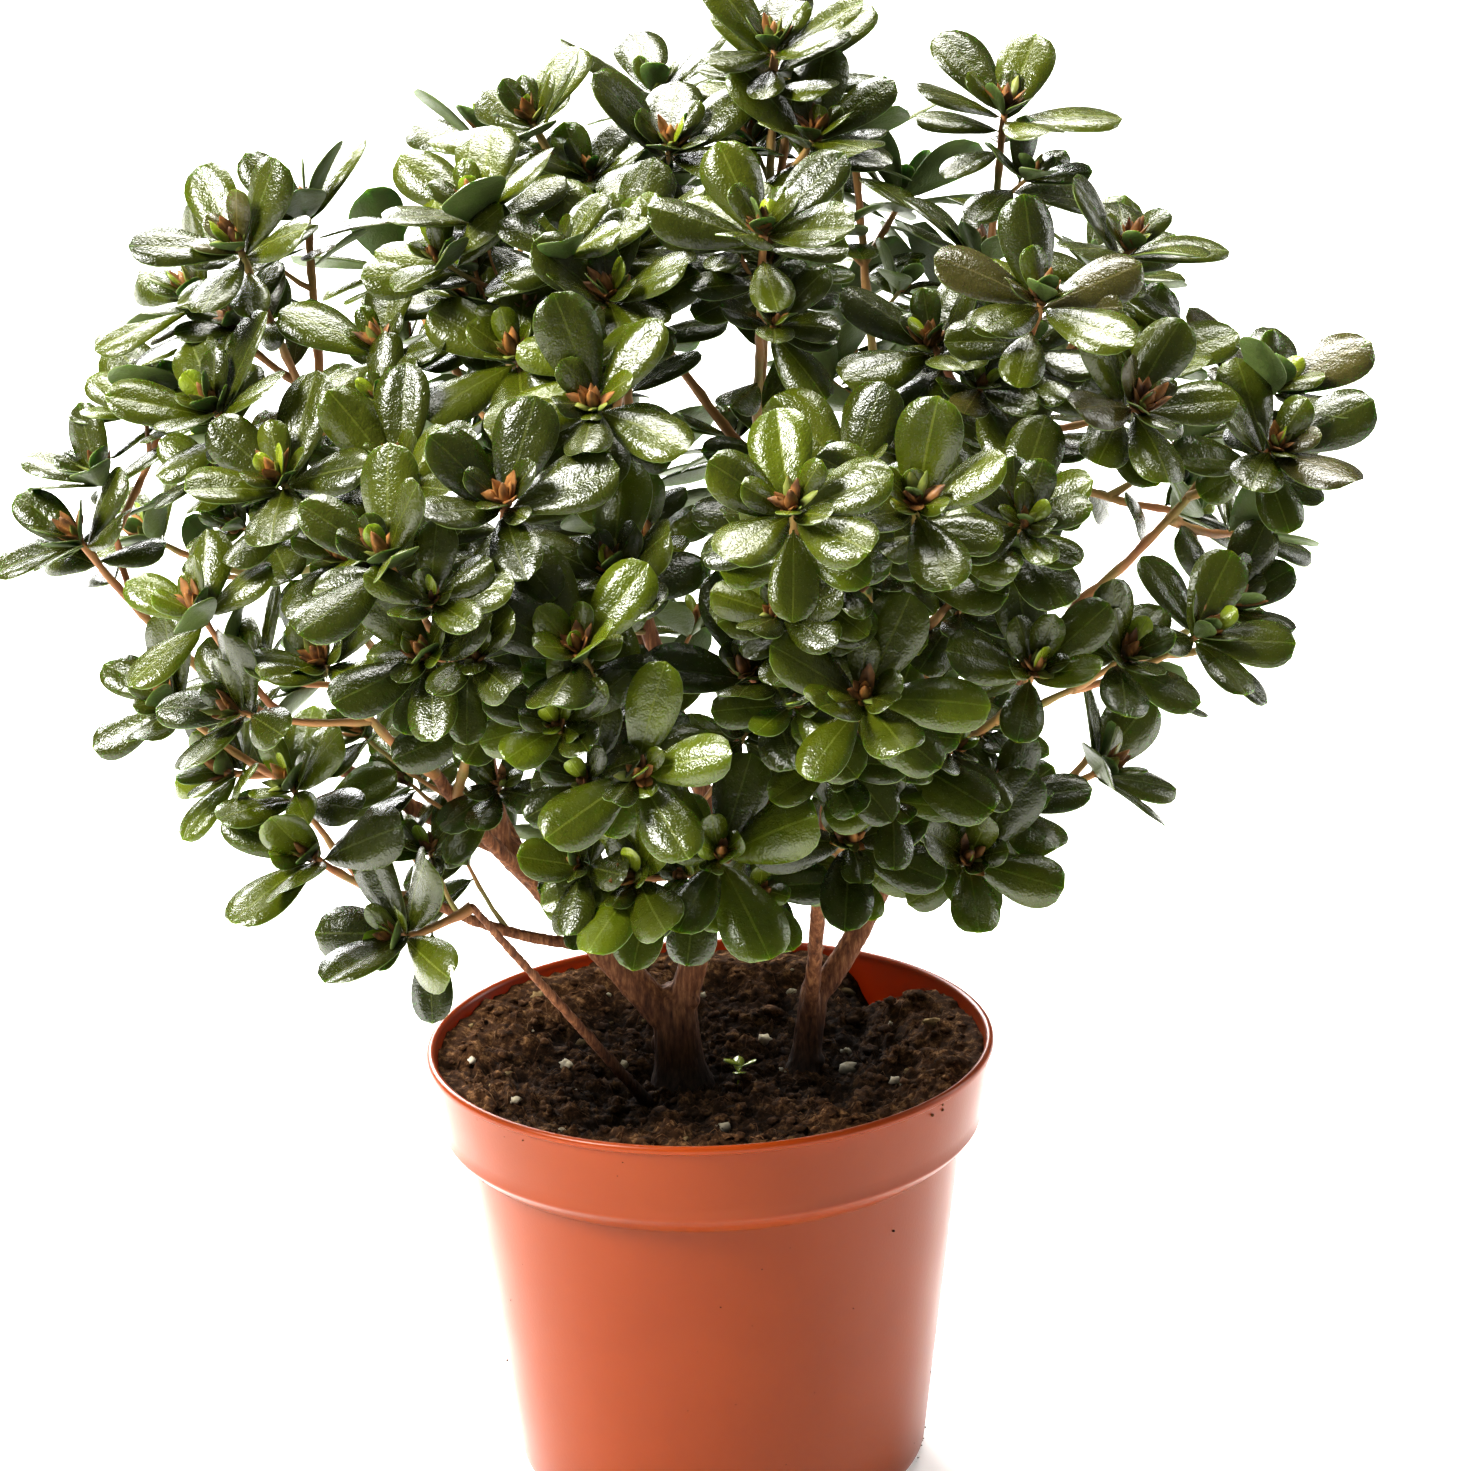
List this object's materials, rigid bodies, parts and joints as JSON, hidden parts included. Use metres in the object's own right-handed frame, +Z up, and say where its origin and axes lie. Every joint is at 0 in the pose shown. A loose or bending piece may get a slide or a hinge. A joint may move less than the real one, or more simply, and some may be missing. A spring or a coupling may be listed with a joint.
{
  "type": "potted azalea shrub",
  "caption": "Evergreen shrub with small blunt leaves in rosettes on branching stems, rooted in a round tapered nursery pot filled with peat.",
  "frame": {"origin": "centre of the pot's flat underside", "axes": "+Z up along the pot's axis, -Y towards the front of the plant, +X to its right as seen from the front"},
  "size_m": [0.3575, 0.3018, 0.3934],
  "materials": {
    "pot": "satin",
    "soil": "matte",
    "bark": "matte",
    "foliage": "satin"
  },
  "bodies": {
    "root": {"pot": "pot", "soil": "soil", "stem_left": "bark", "stem_right": "bark", "low_shoot": "bark", "limb_left": "bark", "limb_mid": "bark", "limb_right": "bark", "limb_centre": "bark", "bough_left_up": "bark", "bough_left_back": "bark", "bough_far_left": "bark", "bough_left_front": "bark", "bough_left_low": "bark", "bough_mid_up": "bark", "bough_top": "bark", "bough_mid_back": "bark", "bough_front": "bark", "bough_right_up": "bark", "bough_right_back": "bark", "bough_right_far": "bark", "bough_right_front": "bark", "bough_right_low": "bark", "spray_top": "foliage", "spray_top_left": "foliage", "spray_top_front": "foliage", "spray_top_right": "foliage", "spray_crest_left": "foliage", "spray_crest_mid": "foliage", "spray_crest_right": "foliage", "spray_right_shoulder": "foliage", "spray_left_shoulder": "foliage", "spray_left_high": "foliage", "spray_left": "foliage", "spray_far_left": "foliage", "spray_left_low": "foliage", "spray_left_front": "foliage", "spray_front_left_high": "foliage", "spray_low_left": "foliage", "spray_low_shoot": "foliage", "spray_front_left": "foliage", "spray_low_front": "foliage", "spray_front": "foliage", "spray_front_high": "foliage", "spray_low_right": "foliage", "spray_front_right_high": "foliage", "spray_front_right": "foliage", "spray_low_right_front": "foliage", "spray_low_right_far": "foliage", "spray_right_low": "foliage", "spray_right": "foliage", "spray_back_far_left": "foliage", "spray_back_low_left": "foliage", "spray_back_left": "foliage", "spray_back_low": "foliage", "spray_back": "foliage", "spray_back_right": "foliage", "spray_back_far_right": "foliage", "spray_back_low_right": "foliage"}
  },
  "joints": []
}
